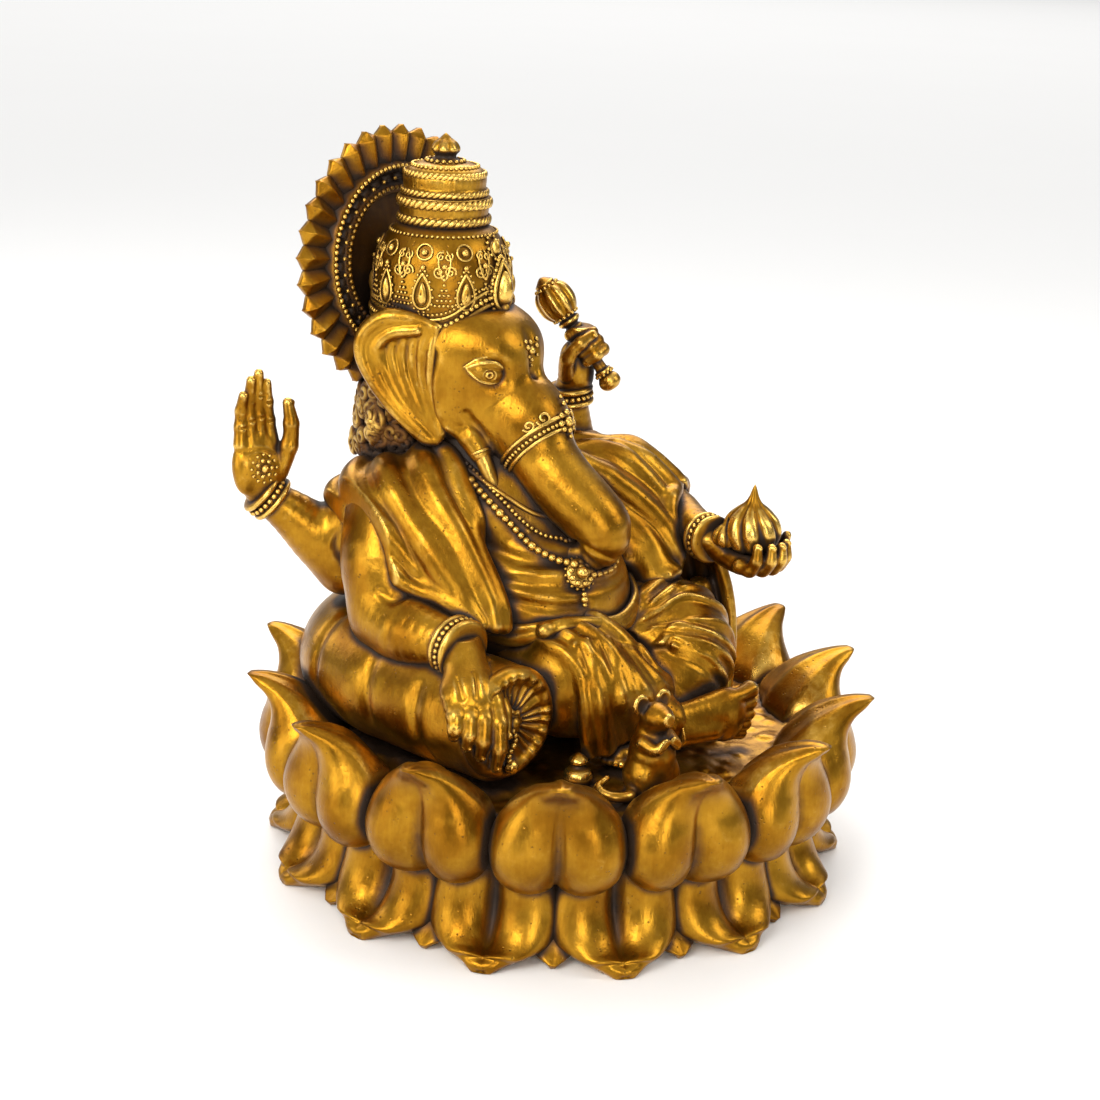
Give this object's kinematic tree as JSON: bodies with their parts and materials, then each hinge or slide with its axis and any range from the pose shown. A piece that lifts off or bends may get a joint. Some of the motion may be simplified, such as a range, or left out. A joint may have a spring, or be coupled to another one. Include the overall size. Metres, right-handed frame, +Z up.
{
  "type": "hindu deity statue",
  "caption": "Seated elephant-headed deity figure leaning on a bolster, on a double lotus base, in antique gold cast resin with a rayed halo.",
  "frame": {"origin": "centre of the base on the ground", "axes": "+Z up; the figure faces -Y and its own left side is +X"},
  "size_m": [0.1486, 0.145, 0.1679],
  "materials": {
    "antique_gilt": "antique gold paint over cast resin with a brown wash in the recesses",
    "bright_gilt": "rubbed gold paint on raised ornament",
    "dark_gilt": "gold paint left dark by the wash",
    "felt": "black felt"
  },
  "bodies": {
    "root": {"felt_pad": "felt", "base_cover": "dark_gilt", "lotus_core": "antique_gilt", "seat_deck": "antique_gilt", "lower_petals": "antique_gilt", "upper_petals": "antique_gilt", "figure_pegs": "dark_gilt", "bolster_cushion": "antique_gilt", "bolster_front_end": "antique_gilt", "bolster_button": "bright_gilt", "bolster_back_end": "antique_gilt", "torso": "antique_gilt", "waist_sash": "bright_gilt", "right_leg": "antique_gilt", "left_leg": "antique_gilt", "right_foot": "antique_gilt", "left_foot": "antique_gilt", "right_shawl": "antique_gilt", "left_shawl": "antique_gilt", "side_drape": "antique_gilt", "neck_peg": "dark_gilt", "head": "antique_gilt", "trunk": "antique_gilt", "trunk_band": "bright_gilt", "right_tusk": "bright_gilt", "left_tusk": "bright_gilt", "right_ear": "antique_gilt", "left_ear": "antique_gilt", "hair_curls": "dark_gilt", "eyes": "bright_gilt", "forehead_mark": "bright_gilt", "crown_rim_band": "bright_gilt", "crown_dome": "antique_gilt", "crown_jewels": "bright_gilt", "crown_lower_ring": "bright_gilt", "crown_upper_ring": "bright_gilt", "crown_finial": "bright_gilt", "halo_rays": "antique_gilt", "halo_ring": "bright_gilt", "halo_beads": "bright_gilt", "right_rear_arm": "antique_gilt", "right_rear_bangle": "bright_gilt", "right_rear_hand": "antique_gilt", "right_front_arm": "antique_gilt", "right_front_bangle": "bright_gilt", "right_front_hand": "antique_gilt", "hanging_tassel": "bright_gilt", "left_rear_arm": "antique_gilt", "left_rear_bangle": "bright_gilt", "left_rear_hand": "antique_gilt", "club": "antique_gilt", "left_front_arm": "antique_gilt", "left_front_bangle": "bright_gilt", "left_front_hand": "antique_gilt", "modak_sweet": "bright_gilt", "bead_necklace": "bright_gilt", "pendant": "bright_gilt", "mouse": "antique_gilt"}
  },
  "joints": []
}
